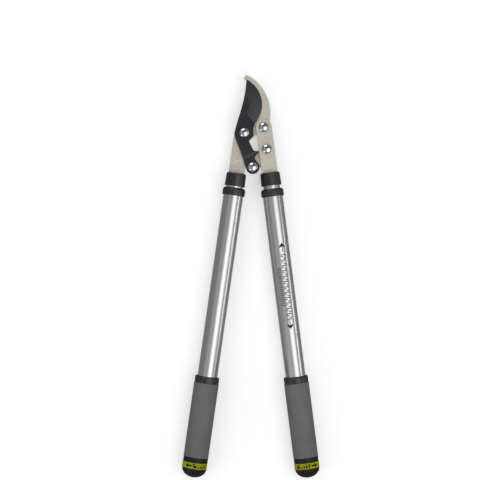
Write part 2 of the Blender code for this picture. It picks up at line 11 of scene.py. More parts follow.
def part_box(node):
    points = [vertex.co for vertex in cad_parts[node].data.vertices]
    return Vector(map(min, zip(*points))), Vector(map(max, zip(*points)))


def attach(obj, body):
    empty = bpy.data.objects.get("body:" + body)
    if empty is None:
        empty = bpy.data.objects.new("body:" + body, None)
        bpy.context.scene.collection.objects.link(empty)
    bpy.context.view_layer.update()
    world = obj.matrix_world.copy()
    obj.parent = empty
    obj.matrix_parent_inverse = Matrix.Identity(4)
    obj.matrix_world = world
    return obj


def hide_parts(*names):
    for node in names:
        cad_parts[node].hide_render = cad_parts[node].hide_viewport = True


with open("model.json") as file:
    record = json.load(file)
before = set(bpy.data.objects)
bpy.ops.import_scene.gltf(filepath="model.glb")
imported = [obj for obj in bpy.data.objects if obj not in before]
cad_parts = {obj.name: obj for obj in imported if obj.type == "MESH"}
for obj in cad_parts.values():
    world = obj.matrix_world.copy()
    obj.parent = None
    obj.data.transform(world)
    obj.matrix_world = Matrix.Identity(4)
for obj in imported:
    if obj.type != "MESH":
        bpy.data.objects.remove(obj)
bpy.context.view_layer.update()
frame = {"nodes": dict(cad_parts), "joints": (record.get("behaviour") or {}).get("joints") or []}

MM = 0.001
JOINTS = {joint["name"]: joint for joint in frame["joints"]}
SIDES = ("left", "right")
BODY_OF_ARM = {"left": "hook_frame", "right": "right_arm"}
RIVETED = {"main": "hook_frame", "blade": "hook_frame", "bracket_link": "right_arm",
           "blade_link": "blade_body"}

# Camera, matched to the photograph's straight-down view
VIEW_CENTRE = (-19.7 * MM, 55.6 * MM)
VIEW_WIDTH = 746.4 * MM
CAMERA_DISTANCE = 2.6
CAMERA_ROLL = radians(0.465)
SENSOR = 36.0

# Shape of the head, in the frame's own axes
CUT_CENTRE = (-31.0 * MM, 265.9 * MM)
CUT_RADIUS = 43.9 * MM
BYPASS_OVERLAP = 1.3 * MM
HOOK_OUTER_CENTRE = (-41.4 * MM, 252.1 * MM)
HOOK_OUTER_RADIUS = 67.5 * MM
GRIND_WIDTH = 21.0 * MM
GRIND_OVERRUN = 0.6 * MM
GRIND_SLAB = 120 * MM
EDGE_LAND = 0.4 * MM
GRIND_END = (1.4 * MM, 236.9 * MM)
GRIND_END_ANGLE = radians(127.5)
STRAP_HALF_WIDTH = 12.5 * MM
TONGUE_HALF_WIDTH = 8.5 * MM
TONGUE_END = 250 * MM
LINK_END_RADIUS = 9.6 * MM
TANG_END_RADIUS = 10.6 * MM
STEP_WIDTH = 2.4 * MM
HOOK_BEND = ((-23.2 * MM, 179.0 * MM), (0.302, -0.953))
BLADE_BEND = ((-6.0 * MM, 187.3 * MM), (0.484, -0.875))
HOLE_RADIUS = 4.1 * MM
OPEN_HOLE_RADIUS = 5.8 * MM
LIFT = 1.5 * MM
GAP = 0.3 * MM
FIT = 0.1 * MM
EDGE_REACH = 0.3 * MM
BROKEN_EDGE = {"hook_plate": 0.45 * MM, "right_bracket": 0.55 * MM, "drive_link": 0.4 * MM,
               "blade": 0.22 * MM}
RAMP_WIDTH = 1.5 * STEP_WIDTH

# Meshing: a length that cuts through everything, and two that count as none
CUTTER_LENGTH = 60 * MM
WELD = 0.02 * MM
TINY = 1e-7

# The blade's finishes in slot order, the grain of its coating, and how much of a face's normal
# points up where the face slopes and where it is upright. The sloping faces of the bend get a
# lighter coating: a painted highlight where the bend's ramp faces the light
BLADE_FINISHES = ("coating", "coating_edge", "grind", "keen", "coating_painted_highlight")
COATING_GRAIN = 0.6 * MM
SLOPING = (0.7, 0.996)
UPRIGHT = 0.2

# Rivets, and how many steps a dome has from its rim to its top
DOME_STEPS = 24
HEAD_RADIUS = 8.0 * MM
HEAD_HEIGHT = 5.0 * MM
HEAD_RIM = 0.7 * MM
SHANK_RADIUS = 4.0 * MM
TAIL_RADIUS = 6.3 * MM
TAIL_HEIGHT = 2.2 * MM
WASHER_BORE = 4.15 * MM

# Turned pieces of the handles; the parting line is (depth, place) below the cap's shoulder, in mm
FERRULE_WALL = 2.5 * MM
FERRULE_TAPER = 0.6 * MM
FERRULE_EDGE = 1.4 * MM
TONGUE_SLOT = (17.6 * MM, 5.6 * MM)
PLATE_THICKNESS = 5.0 * MM
PIN_HOLE_RADIUS = 2.5 * MM
COLLAR_LENGTH = 12.2 * MM
COLLAR_WALL = 2.2 * MM
COLLAR_EDGE = 4.2 * MM
RING_EDGE = 2.4 * MM
RING_RELIEF = 0.35 * MM
RING_STEP = (2.4 * MM, 2.0 * MM)
SLEEVE_LIP = 0.8 * MM
CAP_RADIUS = 19.1 * MM
CAP_GROOVE = 17.8 * MM
CAP_SPIGOT_BORE = 9.5 * MM
CAP_DIMPLE = 2.0 * MM
PARTING_LINE = ((0, 3.1), (0.3, 3.4), (0.3, 3.9), (0, 4.2))
OUTER_BORE = 14.2 * MM

# Printed marks, as arc lengths to the right of a handle's centre line
BAND_ARROW = {"left": -10.0 * MM, "right": 12.4 * MM}
BAND_SIGN = {"left": 8.9 * MM, "right": -6.6 * MM}
PRINT_THICKNESS = 0.06 * MM
PRINT_CLEARANCE = 0.01 * MM
PRINT_STEP = 0.6 * MM
PRINT_SLANT = -0.018

# The marks: an arrow's size is (length, width, shaft, head, blunt end), a tick or dash is
# (width, shift), and a place is (distance down the handle, offset to its right). An arrow on the
# tube is its name, its quarter turns and its place.
BAND_ARROW_SIZE = (11.2 * MM, 6.4 * MM, 2.3 * MM, 5.4 * MM, 0.2 * MM)
TUBE_ARROW_SIZE = (14.4 * MM, 8.8 * MM, 1.2 * MM, 5.6 * MM, 2.4 * MM)
TUBE_ARROWS = (("tube_arrow_up", -1, 310.3 * MM, 3.9 * MM),
               ("tube_arrow_down", 1, 430.2 * MM, 1.6 * MM))
SIGN_BARS = 4
TICKS = ((7.6 * MM, 0.0), (4.0 * MM, -1.8 * MM), (4.0 * MM, 1.8 * MM))
TICK_COUNT = 37
SCALE_PLACE = (372 * MM, 3.0 * MM)
SCALE_LENGTH = 100 * MM
DASHES = ((3.2 * MM, 0.0), (5.0 * MM, 0.0), (5.0 * MM, 0.0))
DASH_COUNT = 20
DASH_PLACE = (371 * MM, -4.9 * MM)
DASH_ROW_LENGTH = 58 * MM

# Brightness of what surrounds the loppers
FLOOR_GLOW = 0.48
WALL_GLOW = 0.24
CEILING_GLOW = 0.06

# Lights: direction from the target, distance, size and glow, with the target if it isn't the head
HEAD_TARGET = (0, 230 * MM, 20 * MM)
GRIP_TARGET = (0, -90 * MM, 20 * MM)
LIGHTS = {
    "key": ((0.37, -0.30, 0.88), 2.2, (1.5, 2.0), 1.1),
    "key_surround": ((0.31, -0.25, 0.92), 2.3, (2.75, 2.4), 0.45),
    "left_fill": ((-0.50, -0.25, 0.83), 2.2, (1.1, 2.2), 0.30),
    "right_strip": ((0.965, 0.0, 0.26), 1.9, (0.18, 0.9), 4.0, GRIP_TARGET),
    "head_light": ((-0.34, 0.77, 0.54), 1.9, (1.3, 1.4), 1.5),
    "low_left": ((-0.66, -0.63, 0.40), 1.9, (0.6, 0.8), 2.2),
}


# ---------------------------------------------------------------- places from the frame

def joint_point(name):
    return Vector(JOINTS[name]["pos_m"])


MAIN_PIVOT = joint_point("handle_pivot")
BLADE_PIVOT = joint_point("blade_pivot")
BRACKET_LINK_PIVOT = joint_point("link_pivot")


def middle(node):
    low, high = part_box(node)
    return (Vector(low) + Vector(high)) / 2


BLADE_LINK_PIVOT = middle("blade_link_rivet")


def handle_matrix(side):
    """Axes of a handle: X to its right, Y up to the viewer, Z down the handle from the apex."""
    down = Vector(JOINTS[side + "_slide"]["axis"]).normalized()
    point = joint_point(side + "_twist")
    apex = point - down * (point.x / down.x)
    up = Vector((0, 0, 1))
    right = up.cross(down)
    matrix = Matrix((right, up, down)).transposed().to_4x4()
    matrix.translation = apex
    return matrix


HANDLES = {side: handle_matrix(side) for side in SIDES}


def reach(node, side):
    """(start, end, largest radius) of a turned CAD node, measured along its handle."""
    into = HANDLES[side].inverted()
    points = [into @ vert.co for vert in frame["nodes"][node].data.vertices]
    along = [p.z for p in points]
    return min(along), max(along), max(p.to_2d().length for p in points)


BLADE_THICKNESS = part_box("blade")[1][2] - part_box("blade")[0][2] - LIFT
INNER_RADIUS = reach("left_inner_tube", "left")[2]
OUTER_RADIUS = reach("left_outer_tube", "left")[2]


def on_handle(side, distance, offset):
    """The point at a distance down a handle and an offset to its right, seen from above."""
    return (HANDLES[side] @ Vector((offset, 0, distance))).to_2d()


# ---------------------------------------------------------------- materials

class Paint:
    """A material under construction: short names for its node tree."""

    def __init__(self, name):
        self.material = bpy.data.materials.new(name)
        self.material.use_nodes = True
        self.nodes = self.material.node_tree.nodes
        self.links = self.material.node_tree.links
        self.shader = self.nodes["Principled BSDF"]
        self.place = self.nodes.new("ShaderNodeTexCoord").outputs["Object"]

    def set(self, **values):
        for socket, value in values.items():
            self.shader.inputs[socket.replace("_", " ")].default_value = value

    def stretched(self, scale):
        node = self.nodes.new("ShaderNodeMapping")
        node.inputs["Scale"].default_value = scale
        self.links.new(self.place, node.inputs["Vector"])
        return node.outputs["Vector"]

    def noise(self, scale, detail=3.0, rough=0.55, where=None):
        node = self.nodes.new("ShaderNodeTexNoise")
        node.inputs["Scale"].default_value = scale
        node.inputs["Detail"].default_value = detail
        node.inputs["Roughness"].default_value = rough
        self.links.new(where or self.place, node.inputs["Vector"])
        return node.outputs["Fac"]

    def spread(self, source, low, high, to_low, to_high):
        node = self.nodes.new("ShaderNodeMapRange")
        for socket, value in (("From Min", low), ("From Max", high),
                              ("To Min", to_low), ("To Max", to_high)):
            node.inputs[socket].default_value = value
        self.links.new(source, node.inputs["Value"])
        return node.outputs["Result"]

    def math(self, operation, first, second):
        node = self.nodes.new("ShaderNodeMath")
        node.operation = operation
        self.links.new(first, node.inputs[0])
        if isinstance(second, float):
            node.inputs[1].default_value = second
        else:
            self.links.new(second, node.inputs[1])
        return node.outputs[0]

    def mix(self, *shares):
        """The sum of pairs of a source and its weight."""
        total = None
        for source, weight in shares:
            part = self.math("MULTIPLY", source, weight)
            total = part if total is None else self.math("ADD", total, part)
        return total

    def colours(self, factor, stops):
        node = self.nodes.new("ShaderNodeValToRGB")
        ramp = node.color_ramp
        while len(ramp.elements) < len(stops):
            ramp.elements.new(0.5)
        for element, (at, colour) in zip(ramp.elements, stops):
            element.position = at
            element.color = (*colour, 1)
        self.links.new(factor, node.inputs["Fac"])
        self.links.new(node.outputs["Color"], self.shader.inputs["Base Color"])

    def roughness(self, source):
        self.links.new(source, self.shader.inputs["Roughness"])

    def bump(self, height, distance, strength=1.0):
        node = self.nodes.new("ShaderNodeBump")
        node.inputs["Distance"].default_value = distance
        node.inputs["Strength"].default_value = strength
        self.links.new(height, node.inputs["Height"])
        self.links.new(node.outputs["Normal"], self.shader.inputs["Normal"])


def steel_material(name, dark, light, rough, blasted):
    """Satin plate: fine blasted grain over faint rolling streaks, with slow colour drift."""
    paint = Paint(name)
    paint.set(Metallic=1.0)
    grain = paint.noise(1900, 4, 0.7)
    mottle = paint.noise(420, 3, 0.6)
    drift = paint.noise(28, 3)
    streak = paint.noise(1.0, 3, 0.6, paint.stretched((1400, 60, 300)))
    paint.colours(paint.mix((grain, 0.25), (drift, 0.30), (mottle, 0.45)),
                  [(0.36, dark), (0.64, light)])
    gloss = paint.math("ADD", grain, streak)
    paint.roughness(paint.spread(gloss, 0.6, 1.4, rough - 0.06, rough + 0.08))
    paint.bump(paint.mix((grain, 1.0), (streak, 0.35)), 0.05 * MM, blasted)
    return paint.material


def coating_material(name, dark, light, rough, grain_size):
    """Black coating: a soft orange-peel surface with faint cloudy rubbing."""
    paint = Paint(name)
    peel = paint.noise(1 / grain_size, 4, 0.6)
    cloud = paint.noise(45, 4)
    paint.colours(cloud, [(0.35, dark), (0.68, light)])
    gloss = paint.math("ADD", cloud, peel)
    paint.roughness(paint.spread(gloss, 0.6, 1.4, rough - 0.06, rough + 0.09))
    paint.bump(peel, 0.06 * MM, 0.35)
    return paint.material


def ground_material(name, across):
    """Ground bevel: fine parallel grinding marks that show through the dark coating."""
    paint = Paint(name)
    paint.set(Metallic=0.35)
    marks = paint.noise(1.0, 3, 0.6, paint.stretched(across))
    cloud = paint.noise(60, 3)
    paint.colours(paint.mix((marks, 0.6), (cloud, 0.4)),
                  [(0.36, (0.034, 0.035, 0.041)), (0.66, (0.064, 0.065, 0.074))])
    paint.roughness(paint.spread(marks, 0.3, 0.7, 0.30, 0.42))
    paint.bump(marks, 0.04 * MM, 0.5)
    return paint.material


def drawn_aluminium(name, light, rough):
    """Drawn tube: long fine lines down the tube and a slow change of gloss round it."""
    paint = Paint(name)
    paint.set(Metallic=1.0)
    lines = paint.noise(1.0, 4, 0.65, paint.stretched((1500, 1500, 5)))
    bands = paint.noise(1.0, 2, 0.5, paint.stretched((160, 160, 1.5)))
    specks = paint.noise(900, 3, 0.6)
    dark = tuple(c * 0.9 for c in light)
    paint.colours(paint.mix((lines, 0.5), (bands, 0.5)), [(0.35, dark), (0.65, light)])
    gloss = paint.mix((lines, 1.0), (bands, 1.0), (specks, 0.3))
    paint.roughness(paint.spread(gloss, 0.8, 1.6, rough - 0.02, rough + 0.03))
    paint.bump(lines, 0.012 * MM, 0.6)
    return paint.material


def polished_material(name, colour, rough):
    """Plated metal: nearly smooth, with faint polishing haze."""
    paint = Paint(name)
    paint.set(Metallic=1.0)
    haze = paint.noise(260, 4)
    fine = paint.noise(2400, 2)
    dark = tuple(c * 0.93 for c in colour)
    paint.colours(haze, [(0.3, dark), (0.7, colour)])
    paint.roughness(paint.spread(haze, 0.3, 0.7, rough * 0.7, rough * 1.4))
    paint.bump(fine, 0.004 * MM, 0.5)
    return paint.material


def moulded_material(name, dark, light, rough, texture=0.45 * MM, depth=0.04 * MM, shine=0.5):
    """Moulded plastic: fine spark-eroded texture and slightly uneven gloss."""
    paint = Paint(name)
    paint.set(Specular_IOR_Level=shine)
    spark = paint.noise(1 / texture, 3, 0.65)
    cloud = paint.noise(70, 3)
    paint.colours(paint.mix((spark, 0.35), (cloud, 0.65)), [(0.35, dark), (0.65, light)])
    paint.roughness(paint.spread(cloud, 0.3, 0.7, rough - 0.05, rough + 0.06))
    paint.bump(spark, depth, 0.6)
    return paint.material


def grip_material(name):
    """Soft grip: matt grey skin with a fine closed-cell stipple and worn lighter patches."""
    paint = Paint(name)
    paint.set(Sheen_Weight=0.03, Sheen_Roughness=0.5, Specular_IOR_Level=0.3)
    cells = paint.nodes.new("ShaderNodeTexVoronoi")
    cells.inputs["Scale"].default_value = 1500
    paint.links.new(paint.place, cells.inputs["Vector"])
    stipple = cells.outputs["Distance"]
    fine = paint.noise(2600, 3)
    cloud = paint.noise(24, 4)
    paint.colours(paint.mix((fine, 0.3), (cloud, 0.7)),
                  [(0.33, (0.165, 0.165, 0.166)), (0.67, (0.215, 0.215, 0.215))])
    paint.roughness(paint.spread(cloud, 0.3, 0.7, 0.66, 0.78))
    paint.bump(paint.mix((stipple, 1.0), (fine, 0.5)), 0.1 * MM, 0.55)
    return paint.material


MATERIALS = {
    "plate": steel_material("plate_steel", (0.65, 0.605, 0.53), (0.87, 0.82, 0.735), 0.56, 0.5),
    "plate_edge": steel_material("plate_cut_edge", (0.82, 0.77, 0.69), (0.97, 0.92, 0.84),
                                 0.42, 0.3),
    "zinc": polished_material("zinc_plate", (0.60, 0.61, 0.62), 0.30),
    "coating": coating_material("blade_coating", (0.0085, 0.009, 0.012), (0.017, 0.018, 0.022),
                                0.46, COATING_GRAIN),
    # Lighter coating for the sloping faces of the blade's bend: a painted highlight on its ramp
    "coating_painted_highlight": coating_material("blade_ramp_painted_highlight", (0.030, 0.031, 0.036),
                                     (0.050, 0.051, 0.058), 0.42, COATING_GRAIN),
    "coating_edge": coating_material("blade_rubbed_edge", (0.05, 0.051, 0.056),
                                     (0.09, 0.092, 0.097), 0.36, COATING_GRAIN),
    "grind": ground_material("blade_ground_bevel", (900, 90, 300)),
    "keen": polished_material("blade_keen_edge", (0.55, 0.55, 0.56), 0.28),
    "chrome": polished_material("rivet_chrome", (0.70, 0.71, 0.73), 0.07),
    "tube": drawn_aluminium("outer_tube_aluminium", (0.72, 0.72, 0.71), 0.28),
    "inner": drawn_aluminium("inner_tube_aluminium", (0.76, 0.76, 0.76), 0.30),
    "plastic": moulded_material("black_plastic", (0.007, 0.008, 0.011), (0.014, 0.015, 0.019), 0.38,
                                shine=0.85),
    "cap": moulded_material("cap_plastic", (0.006, 0.006, 0.009), (0.012, 0.012, 0.016), 0.46,
                            shine=0.32),
    "grip": grip_material("grip_skin"),
    "band": moulded_material("band_yellow", (0.39, 0.395, 0.001), (0.49, 0.495, 0.003), 0.55,
                             0.5 * MM, 0.02 * MM, 0.12),
    "ink": moulded_material("print_ink", (0.008, 0.009, 0.022), (0.018, 0.020, 0.036), 0.6,
                            shine=0.2),
    "tube_ink": moulded_material("tube_print_ink", (0.018, 0.019, 0.021), (0.04, 0.041, 0.043), 0.6,
                                 shine=0.2),
    "nylon": moulded_material("natural_nylon", (0.66, 0.65, 0.60), (0.80, 0.79, 0.75), 0.5),
}


# ---------------------------------------------------------------- outlines

def arc(centre, radius, start, end, steps):
    angles = [radians(start + (end - start) * i / steps) for i in range(steps + 1)]
    return [(centre[0] + radius * cos(a), centre[1] + radius * sin(a)) for a in angles]


def curve_between(first, pull_first, pull_last, last, steps):
    points = []
    for i in range(steps + 1):
        t = i / steps
        weights = ((1 - t) ** 3, 3 * t * (1 - t) ** 2, 3 * t * t * (1 - t), t ** 3)
        corners = (first, pull_first, pull_last, last)
        points.append(tuple(sum(w * c[k] for w, c in zip(weights, corners)) for k in (0, 1)))
    return points


def rounded(before, corner, after, radius, steps=8):
    """Points of a round corner of the given radius on the path before-corner-after."""
    corner, before, after = Vector(corner), Vector(before), Vector(after)
    into = (before - corner).normalized()
    out = (after - corner).normalized()
    half = into.angle(out) / 2
    length = radius * cos(half) / sin(half)
    centre = corner + (into + out).normalized() * (radius / sin(half))
    start = corner + into * length - centre
    sweep = start.angle_signed(corner + out * length - centre)
    turns = [Matrix.Rotation(-sweep * i / steps, 2) for i in range(steps + 1)]
    return [tuple(centre + turn @ start) for turn in turns]


def strap_end(side, shoulder):
    """The lower end of a strap: down one edge, round the tongue and up the other."""
    wide, slim = STRAP_HALF_WIDTH, TONGUE_HALF_WIDTH
    stops = [(shoulder, -wide), (shoulder, -slim), (TONGUE_END, -slim),
             (TONGUE_END, slim), (shoulder, slim), (shoulder, wide)]
    return [tuple(on_handle(side, distance, offset)) for distance, offset in stops]


def hook_outline():
    inner = arc(CUT_CENTRE, CUT_RADIUS - BYPASS_OVERLAP, 66, -40, 56)
    throat = (-5.0 * MM, 232.6 * MM)
    boss = arc(BLADE_PIVOT.to_2d(), 14 * MM, 62, 172, 28)
    left_edge = tuple(on_handle("left", 141 * MM, -STRAP_HALF_WIDTH))
    shoulder = reach("left_ferrule", "left")[0] - GAP
    crotch = tuple(on_handle("left", 141.5 * MM, STRAP_HALF_WIDTH))
    web_corner = (3.6 * MM, 218.6 * MM)
    lobe = arc(MAIN_PIVOT.to_2d(), 11.6 * MM, -105, 10, 28)
    back = arc(HOOK_OUTER_CENTRE, HOOK_OUTER_RADIUS, -8.5, 61, 44)
    beak = [(-12.6 * MM, 312.1 * MM), (-16.0 * MM, 306.6 * MM)]
    end = strap_end("left", shoulder)
    return (inner + rounded(inner[-1], throat, boss[0], 3 * MM) + boss
            + rounded(boss[-1], left_edge, end[0], 12 * MM) + end
            + rounded(end[-1], crotch, web_corner, 2.5 * MM)
            + rounded(crotch, web_corner, lobe[0], 4 * MM) + lobe + back
            + rounded(back[-1], beak[0], beak[1], 2 * MM)
            + rounded(beak[0], beak[1], inner[0], 1.2 * MM))


def blade_outline():
    edge = arc(CUT_CENTRE, CUT_RADIUS, 63.6, -41.5, 60)
    heel = (-0.5 * MM, 228.5 * MM)
    shoulder = (0.4 * MM, 218.0 * MM)
    notch = (-7.0 * MM, 209.5 * MM)
    bump_base = (0.3 * MM, 194.6 * MM)
    bump = (9.4 * MM, 193.6 * MM)
    waist = (1.4 * MM, 183.4 * MM)
    end = arc(BLADE_LINK_PIVOT.to_2d(), TANG_END_RADIUS, 52, -163.5, 44)
    knee = (-17.0 * MM, 185.2 * MM)
    hip = (-30.2 * MM, 219.6 * MM)
    spine = curve_between((-28.6 * MM, 227 * MM), (-24 * MM, 248 * MM),
                          (-13.3 * MM, 270 * MM), (-11.9 * MM, 304.0 * MM), 30)
    return (edge + rounded(edge[-1], heel, shoulder, 12 * MM)
            + rounded(heel, shoulder, notch, 3 * MM)
            + rounded(shoulder, notch, bump_base, 3 * MM)
            + rounded(notch, bump_base, bump, 3.5 * MM)
            + rounded(bump_base, bump, waist, 1.4 * MM)
            + rounded(bump, waist, end[0], 3.5 * MM) + end
            + rounded(end[-1], knee, hip, 30 * MM)
            + rounded(knee, hip, spine[0], 6 * MM) + spine)


def bracket_outline():
    shoulder = reach("right_ferrule", "right")[0] - GAP
    return arc(MAIN_PIVOT.to_2d(), STRAP_HALF_WIDTH, 7.7, 187.7, 48) + strap_end("right", shoulder)


def link_outline():
    run = (BRACKET_LINK_PIVOT - BLADE_LINK_PIVOT).to_2d()
    lean = atan2(run.y, run.x) * 180 / pi
    return (arc(BRACKET_LINK_PIVOT.to_2d(), LINK_END_RADIUS, lean - 90, lean + 90, 32)
            + arc(BLADE_LINK_PIVOT.to_2d(), LINK_END_RADIUS, lean + 90, lean + 270, 32))


# ---------------------------------------------------------------- meshes

def mesh_object(name, bm):
    mesh = bpy.data.meshes.new(name)
    bm.to_mesh(mesh)
    bm.free()
    obj = bpy.data.objects.new(name, mesh)
    bpy.context.scene.collection.objects.link(obj)
    return obj


def finish_piece(obj, body, node, slot, *materials):
    """Hand a finished piece to the frame: its body, the CAD node it stands for and its finish."""
    obj.data.materials.clear()
    for material in materials:
        obj.data.materials.append(MATERIALS[material])
    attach(obj, body)
    if node:
        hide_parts(node)
    return obj


def smooth_by_area(obj):
    for polygon in obj.data.polygons:
        polygon.use_smooth = True
    normals = obj.modifiers.new("Even normals", "WEIGHTED_NORMAL")
    normals.weight = 60
    normals.keep_sharp = True


def cut(obj, cutters):
    """Apply exact differences to a mesh object and drop the cutters."""
    for cutter in cutters:
        modifier = obj.modifiers.new("Cut", "BOOLEAN")
        modifier.object = cutter
        modifier.solver = "EXACT"
    bpy.context.view_layer.update()
    graph = bpy.context.evaluated_depsgraph_get()
    mesh = bpy.data.meshes.new_from_object(obj.evaluated_get(graph))
    obj.modifiers.clear()
    obj.data = mesh
    for cutter in cutters:
        bpy.data.objects.remove(cutter)
    bm = bmesh.new()
    bm.from_mesh(mesh)
    bmesh.ops.remove_doubles(bm, verts=bm.verts, dist=WELD)
    bmesh.ops.dissolve_degenerate(bm, edges=bm.edges, dist=WELD)
    bm.to_mesh(mesh)
    bm.free()


def cylinder(radius, depth, matrix, segments=64):
    bm = bmesh.new()
    bmesh.ops.create_cone(bm, cap_ends=True, segments=segments, radius1=radius,
                          radius2=radius, depth=depth)
    obj = mesh_object("cutter", bm)
    obj.matrix_world = matrix
    return obj


def flat_plate(name, node, outline, bend=None):
    """An extruded outline between the CAD node's back and front, with its soft bend."""
    low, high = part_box(node)
    thickness = high[2] - low[2] - (LIFT if bend else 0)
    bm = bmesh.new()
    face = bm.faces.new([bm.verts.new((x, y, low[2])) for x, y in outline])
    raised = bmesh.ops.extrude_face_region(bm, geom=[face])
    new_verts = [v for v in raised["geom"] if isinstance(v, bmesh.types.BMVert)]
    bmesh.ops.translate(bm, verts=new_verts, vec=(0, 0, thickness))
    if bend:
        soft_step(bm, *bend)
    bmesh.ops.recalc_face_normals(bm, faces=bm.faces)
    return mesh_object(name, bm)


def soft_step(bm, point, direction, strips=8):
    """Lift everything beyond a bend line, over an S-shaped ramp."""
    direction = Vector((*direction, 0)).normalized()
    start = Vector((*point, 0)).dot(direction) - RAMP_WIDTH / 2
    for i in range(strips + 1):
        bmesh.ops.bisect_plane(bm, geom=bm.verts[:] + bm.edges[:] + bm.faces[:], dist=TINY,
                               plane_co=direction * (start + RAMP_WIDTH * i / strips),
                               plane_no=direction)
    for vert in bm.verts:
        share = min(max((vert.co.dot(direction) - start) / RAMP_WIDTH, 0), 1)
        vert.co.z += LIFT * share * share * (3 - 2 * share)


def bevel_edges(obj, width, material=-1):
    bevel = obj.modifiers.new("Broken edges", "BEVEL")
    bevel.width = width
    bevel.segments = 3
    bevel.limit_method = "ANGLE"
    bevel.angle_limit = radians(40)
    bevel.use_clamp_overlap = False
    bevel.material = material


def pivot_hole(pivot, radius=HOLE_RADIUS):
    return cylinder(radius, CUTTER_LENGTH, Matrix.Translation((pivot[0], pivot[1], 20 * MM)))


def pin_holes(side):
    """Cutters for the two cross pins of a handle, where the CAD pins are."""
    holes = []
    for label in ("upper", "lower"):
        centre = middle(side + "_plug_pin_" + label)
        holes.append(cylinder(PIN_HOLE_RADIUS, CUTTER_LENGTH, Matrix.Translation(centre), 40))
    return holes


def grind_cutter(node):
    """Everything outside a cone along the edge arc, beyond the end of the grind."""
    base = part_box(node)[0][2]
    edge_z = base + EDGE_LAND
    rise = BLADE_THICKNESS - EDGE_LAND
    depth = 2 * rise
    wide = CUT_RADIUS + GRIND_OVERRUN
    bm = bmesh.new()
    bmesh.ops.create_cone(bm, cap_ends=True, segments=300, radius1=wide,
                          radius2=wide - 2 * GRIND_WIDTH, depth=depth)
    cone = mesh_object("grind_cone", bm)
    cone.location = (*CUT_CENTRE, edge_z + rise)
    span = GRIND_SLAB
    across = Vector((cos(GRIND_END_ANGLE), sin(GRIND_END_ANGLE)))
    centre = Vector(GRIND_END) + Vector((across.y, -across.x)) * span / 2
    bm = bmesh.new()
    bmesh.ops.create_cube(bm, size=1)
    bmesh.ops.scale(bm, verts=bm.verts, vec=(2 * span, span, depth * 0.9))
    slab = mesh_object("grind_slab", bm)
    slab.location = (*centre, edge_z + depth * 0.46)
    slab.rotation_euler = (0, 0, GRIND_END_ANGLE)
    cut(slab, [cone])
    return slab


def make_plate(node, body, outline, holes, bend=None):
    """A steel plate with its holes, whose broken edges are brighter than its faces."""
    plate = flat_plate(node + "_fine", node, outline, bend)
    cut(plate, holes)
    bevel_edges(plate, BROKEN_EDGE[node], material=1)
    smooth_by_area(plate)
    finish_piece(plate, body, node, "plate_steel", "plate", "plate_edge")


def make_plates():
    make_plate("hook_plate", "hook_frame", hook_outline(),
               [pivot_hole(MAIN_PIVOT), pivot_hole(BLADE_PIVOT)] + pin_holes("left"), HOOK_BEND)
    make_plate("right_bracket", "right_arm", bracket_outline(),
               [pivot_hole(MAIN_PIVOT), pivot_hole(BRACKET_LINK_PIVOT)] + pin_holes("right"))
    make_plate("drive_link", "link_body", link_outline(),
               [pivot_hole(BRACKET_LINK_PIVOT), pivot_hole(BLADE_LINK_PIVOT, OPEN_HOLE_RADIUS)])


def make_blade():
    blade = flat_plate("blade_fine", "blade", blade_outline(), BLADE_BEND)
    cut(blade, [pivot_hole(BLADE_PIVOT), pivot_hole(BLADE_LINK_PIVOT), grind_cutter("blade")])
    finish_piece(blade, "blade_body", "blade", "blade_coating", *BLADE_FINISHES)
    land_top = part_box("blade")[0][2] + EDGE_LAND
    for polygon in blade.data.polygons:
        centre, rise = polygon.center, polygon.normal.z
        at_edge = (centre.to_2d() - Vector(CUT_CENTRE)).length > CUT_RADIUS - EDGE_REACH
        finish = "coating"
        # Sloping faces away from the grind are the bend's ramp, and its lighter coating is a
        # painted highlight
        if SLOPING[0] < rise < SLOPING[1]:
            finish = "grind" if centre.y > GRIND_END[1] - GRIND_WIDTH else "coating_painted_highlight"
        elif abs(rise) < UPRIGHT and at_edge and centre.z < land_top:
            finish = "keen"
        polygon.material_index = BLADE_FINISHES.index(finish)
    bevel_edges(blade, BROKEN_EDGE["blade"], BLADE_FINISHES.index("coating_edge"))
    smooth_by_area(blade)


# ---------------------------------------------------------------- turned pieces

def softened(profile, radius):
    """The closed profile with its real corners rounded."""
    points = [Vector(p) for p in profile]
    out = []
    count = len(points)
    for i, corner in enumerate(points):
        before, after = points[i - 1], points[(i + 1) % count]
        into, away = before - corner, after - corner
        turn = pi - into.angle(away)
        half = (pi - turn) / 2
        fit = min(radius, 0.45 * min(into.length, away.length) * sin(half) / max(cos(half), 1e-6))
        if corner.x < TINY or turn < radians(25) or fit < WELD:
            out.append(tuple(corner))
        else:
            out += rounded(before, corner, after, fit, 3)
    return out


def turned(name, profile, matrix, sides=96, soften=0.3 * MM):
    """Spin a closed profile of (radius, distance) about the matrix's Z axis."""
    loop = list(zip(profile, profile[1:] + profile[:1]))
    if sum(a[0] * b[1] - b[0] * a[1] for a, b in loop) > 0:
        profile = profile[::-1]
    profile = softened(profile, soften)
    while profile[0][0] < TINY and profile[-1][0] >= TINY and profile[1][0] < TINY:
        profile = profile[1:] + profile[:1]
    bm = bmesh.new()
    verts = [bm.verts.new((radius, 0, along)) for radius, along in profile]
    pairs = list(zip(verts, verts[1:]))
    if profile[0][0] > TINY or profile[-1][0] > TINY:
        pairs.append((verts[-1], verts[0]))
    edges = [bm.edges.new(pair) for pair in pairs]
    bmesh.ops.spin(bm, geom=verts + edges, axis=(0, 0, 1), cent=(0, 0, 0), angle=2 * pi,
                   steps=sides, use_merge=True)
    bmesh.ops.remove_doubles(bm, verts=bm.verts, dist=TINY)
    bmesh.ops.recalc_face_normals(bm, faces=bm.faces)
    obj = mesh_object(name, bm)
    obj.matrix_world = matrix
    return obj


def top_edge(outer, start, radius):
    """Profile points of a rounded upper edge, from the end face to the outer side."""
    return arc((outer - radius, start + radius), radius, -90, 0, 8)


